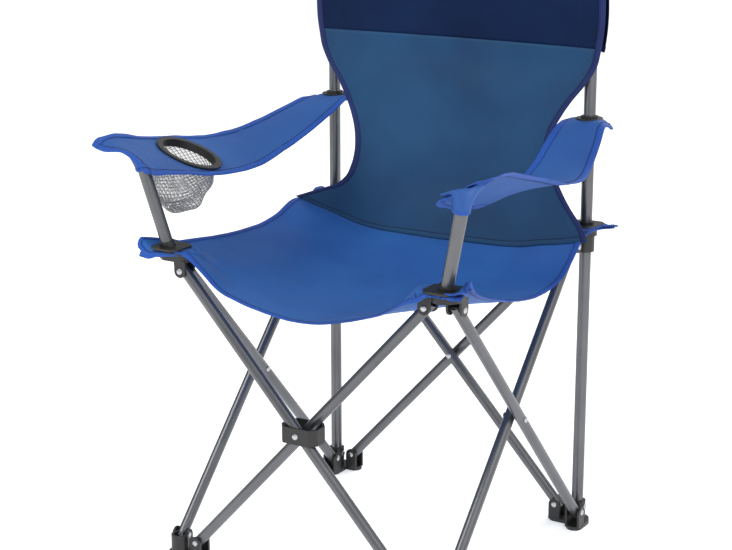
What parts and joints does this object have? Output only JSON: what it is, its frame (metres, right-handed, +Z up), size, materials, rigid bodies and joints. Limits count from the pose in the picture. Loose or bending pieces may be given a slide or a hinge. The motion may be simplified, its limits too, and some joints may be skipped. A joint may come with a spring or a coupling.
{
  "type": "folding quad camping chair",
  "caption": "Folding camping chair with crossed tubular legs, a blue fabric sling seat and back, fabric armrests and a mesh cup holder.",
  "frame": {"origin": "centre of the box that holds the open chair, on the floor under the feet", "axes": "+Z up, -Y the way the sitter faces, +X towards the armrest without the cup holder"},
  "size_m": [0.627, 0.51, 0.8775],
  "materials": {
    "powder_coated_tube": "satin grey powder coat",
    "black_plastic": "matt moulded",
    "rivet_steel": "bright zinc",
    "seat_fabric": "woven polyester",
    "back_fabric": "woven polyester, slightly translucent",
    "pouch_net": "knitted net"
  },
  "bodies": {
    "foot_front_left": {"foot_front_left": "black_plastic", "rivets_foot_front_left": "rivet_steel"},
    "foot_front_right": {"foot_front_right": "black_plastic", "rivets_foot_front_right": "rivet_steel"},
    "foot_rear_left": {"foot_rear_left": "black_plastic", "rivets_foot_rear_left": "rivet_steel", "upright_left": "powder_coated_tube", "upright_cap_left": "black_plastic", "arm_grommet_left": "black_plastic", "back_upper": "back_fabric", "back_lower": "back_fabric"},
    "foot_rear_right": {"foot_rear_right": "black_plastic", "rivets_foot_rear_right": "rivet_steel", "upright_right": "powder_coated_tube", "upright_cap_right": "black_plastic", "arm_grommet_right": "black_plastic"},
    "hub_front_left": {"hub_front_left": "black_plastic", "arm_post_left": "powder_coated_tube", "post_cap_left": "black_plastic", "rivets_hub_front_left": "rivet_steel", "seat_plate_front_left": "black_plastic", "corner_patch_front_left": "seat_fabric"},
    "hub_front_right": {"hub_front_right": "black_plastic", "arm_post_right": "powder_coated_tube", "post_cap_right": "black_plastic", "rivets_hub_front_right": "rivet_steel", "seat_plate_front_right": "black_plastic", "corner_patch_front_right": "seat_fabric"},
    "slider_rear_left": {"slider_rear_left": "black_plastic", "rivets_slider_left": "rivet_steel", "seat_plate_rear_left": "black_plastic", "corner_patch_rear_left": "seat_fabric"},
    "slider_rear_right": {"slider_rear_right": "black_plastic", "rivets_slider_right": "rivet_steel", "seat_plate_rear_right": "black_plastic", "corner_patch_rear_right": "seat_fabric"},
    "front_bracket": {"front_bracket": "black_plastic", "rivets_bracket": "rivet_steel"},
    "front_leg_a": {"front_leg_a": "powder_coated_tube"},
    "front_leg_b": {"front_leg_b": "powder_coated_tube"},
    "left_leg_a": {"left_leg_a": "powder_coated_tube", "rivet_left_cross": "rivet_steel"},
    "left_leg_b": {"left_leg_b": "powder_coated_tube"},
    "right_leg_a": {"right_leg_a": "powder_coated_tube", "rivet_right_cross": "rivet_steel"},
    "right_leg_b": {"right_leg_b": "powder_coated_tube"},
    "rear_leg_a": {"rear_leg_a": "powder_coated_tube", "rivet_rear_cross": "rivet_steel"},
    "rear_leg_b": {"rear_leg_b": "powder_coated_tube"},
    "seat_left": {"seat_left": "seat_fabric"},
    "seat_right": {"seat_right": "seat_fabric"},
    "armrest_left_front": {"armrest_left_front": "seat_fabric", "cup_ring": "black_plastic", "cup_ring_under": "black_plastic", "cup_pouch": "pouch_net"},
    "armrest_left_rear": {"armrest_left_rear": "seat_fabric"},
    "armrest_right_front": {"armrest_right_front": "seat_fabric"},
    "armrest_right_rear": {"armrest_right_rear": "seat_fabric"}
  },
  "joints": [
    {"name": "fold", "type": "hinge", "parent": "foot_front_left", "child": "front_leg_a", "pos_m": [-0.195, -0.198, 0.028], "axis": [0, -1, 0], "range_deg": [0, 36], "deforming": ["seat_left", "seat_right", "back_upper", "back_lower", "armrest_left_front", "armrest_left_rear", "armrest_right_front", "armrest_right_rear", "cup_pouch"]},
    {"name": "front_legs_cross", "type": "hinge", "parent": "front_leg_a", "child": "front_leg_b", "pos_m": [0, -0.207, 0.24], "axis": [0, 1, 0], "range_deg": [0, 72]},
    {"name": "leg_a_to_bracket", "type": "hinge", "parent": "front_leg_a", "child": "front_bracket", "pos_m": [0, -0.198, 0.24], "axis": [0, 1, 0], "range_deg": [0, 36]},
    {"name": "leg_a_to_front_right_hub", "type": "hinge", "parent": "front_leg_a", "child": "hub_front_right", "pos_m": [0.195, -0.198, 0.452], "axis": [0, 1, 0], "range_deg": [0, 36]},
    {"name": "leg_b_to_front_right_foot", "type": "hinge", "parent": "front_leg_b", "child": "foot_front_right", "pos_m": [0.195, -0.216, 0.028], "axis": [0, -1, 0], "range_deg": [0, 36]},
    {"name": "leg_b_to_front_left_hub", "type": "hinge", "parent": "front_leg_b", "child": "hub_front_left", "pos_m": [-0.195, -0.216, 0.452], "axis": [0, -1, 0], "range_deg": [0, 36]},
    {"name": "front_left_foot_to_side_leg", "type": "hinge", "parent": "foot_front_left", "child": "left_leg_a", "pos_m": [-0.234, -0.189, 0.028], "axis": [1, 0, 0], "range_deg": [0, 36]},
    {"name": "left_side_leg_to_slider", "type": "hinge", "parent": "left_leg_a", "child": "slider_rear_left", "pos_m": [-0.234, 0.201, 0.452], "axis": [-1, 0, 0], "range_deg": [0, 36]},
    {"name": "front_left_hub_to_side_leg", "type": "hinge", "parent": "hub_front_left", "child": "left_leg_b", "pos_m": [-0.216, -0.189, 0.452], "axis": [-1, 0, 0], "range_deg": [0, 36]},
    {"name": "left_side_leg_to_rear_foot", "type": "hinge", "parent": "left_leg_b", "child": "foot_rear_left", "pos_m": [-0.216, 0.201, 0.028], "axis": [1, 0, 0], "range_deg": [0, 36]},
    {"name": "front_right_foot_to_side_leg", "type": "hinge", "parent": "foot_front_right", "child": "right_leg_a", "pos_m": [0.216, -0.189, 0.028], "axis": [1, 0, 0], "range_deg": [0, 36]},
    {"name": "right_side_leg_to_slider", "type": "hinge", "parent": "right_leg_a", "child": "slider_rear_right", "pos_m": [0.216, 0.201, 0.452], "axis": [-1, 0, 0], "range_deg": [0, 36]},
    {"name": "front_right_hub_to_side_leg", "type": "hinge", "parent": "hub_front_right", "child": "right_leg_b", "pos_m": [0.234, -0.189, 0.452], "axis": [-1, 0, 0], "range_deg": [0, 36]},
    {"name": "right_side_leg_to_rear_foot", "type": "hinge", "parent": "right_leg_b", "child": "foot_rear_right", "pos_m": [0.234, 0.201, 0.028], "axis": [1, 0, 0], "range_deg": [0, 36]},
    {"name": "rear_left_foot_to_rear_leg", "type": "hinge", "parent": "foot_rear_left", "child": "rear_leg_a", "pos_m": [-0.195, 0.238, 0.028], "axis": [0, -1, 0], "range_deg": [0, 36]},
    {"name": "rear_right_foot_to_rear_leg", "type": "hinge", "parent": "foot_rear_right", "child": "rear_leg_b", "pos_m": [0.195, 0.22, 0.028], "axis": [0, 1, 0], "range_deg": [0, 36]},
    {"name": "seat_left_crease", "type": "hinge", "parent": "hub_front_left", "child": "seat_left", "pos_m": [-0.207, 0, 0.479], "axis": [0, 1, 0], "range_deg": [0, 58]},
    {"name": "seat_right_crease", "type": "hinge", "parent": "hub_front_right", "child": "seat_right", "pos_m": [0.207, 0, 0.479], "axis": [0, -1, 0], "range_deg": [0, 58]},
    {"name": "left_arm_front_crease", "type": "hinge", "parent": "hub_front_left", "child": "armrest_left_front", "pos_m": [-0.258, -0.223, 0.612], "axis": [-0.8885, 0.342, 0.3059], "range_deg": [0, 61.48]},
    {"name": "left_arm_rear_crease", "type": "hinge", "parent": "foot_rear_left", "child": "armrest_left_rear", "pos_m": [-0.226, 0.195, 0.637], "axis": [0.7579, 0.3205, -0.5683], "range_deg": [0, 97.06]},
    {"name": "right_arm_front_crease", "type": "hinge", "parent": "hub_front_right", "child": "armrest_right_front", "pos_m": [0.258, -0.223, 0.612], "axis": [-0.8885, -0.342, -0.3059], "range_deg": [0, 61.48]},
    {"name": "right_arm_rear_crease", "type": "hinge", "parent": "foot_rear_right", "child": "armrest_right_rear", "pos_m": [0.226, 0.195, 0.637], "axis": [0.7579, -0.3205, 0.5683], "range_deg": [0, 97.06]}
  ],
  "couplings": [
    {"joint": "front_legs_cross", "follows": "fold", "ratio": 2},
    {"joint": "leg_a_to_bracket", "follows": "fold", "ratio": 1},
    {"joint": "leg_a_to_front_right_hub", "follows": "fold", "ratio": 1},
    {"joint": "leg_b_to_front_right_foot", "follows": "fold", "ratio": 1},
    {"joint": "leg_b_to_front_left_hub", "follows": "fold", "ratio": 1},
    {"joint": "front_left_foot_to_side_leg", "follows": "fold", "ratio": 1},
    {"joint": "left_side_leg_to_slider", "follows": "fold", "ratio": 1},
    {"joint": "front_left_hub_to_side_leg", "follows": "fold", "ratio": 1},
    {"joint": "left_side_leg_to_rear_foot", "follows": "fold", "ratio": 1},
    {"joint": "front_right_foot_to_side_leg", "follows": "fold", "ratio": 1},
    {"joint": "right_side_leg_to_slider", "follows": "fold", "ratio": 1},
    {"joint": "front_right_hub_to_side_leg", "follows": "fold", "ratio": 1},
    {"joint": "right_side_leg_to_rear_foot", "follows": "fold", "ratio": 1},
    {"joint": "rear_left_foot_to_rear_leg", "follows": "fold", "ratio": 1},
    {"joint": "rear_right_foot_to_rear_leg", "follows": "fold", "ratio": 1},
    {"joint": "seat_left_crease", "follows": "fold", "ratio": 1.6111},
    {"joint": "seat_right_crease", "follows": "fold", "ratio": 1.6111},
    {"joint": "left_arm_front_crease", "follows": "fold", "ratio": 1.7078},
    {"joint": "left_arm_rear_crease", "follows": "fold", "ratio": 2.6962},
    {"joint": "right_arm_front_crease", "follows": "fold", "ratio": 1.7078},
    {"joint": "right_arm_rear_crease", "follows": "fold", "ratio": 2.6962}
  ]
}
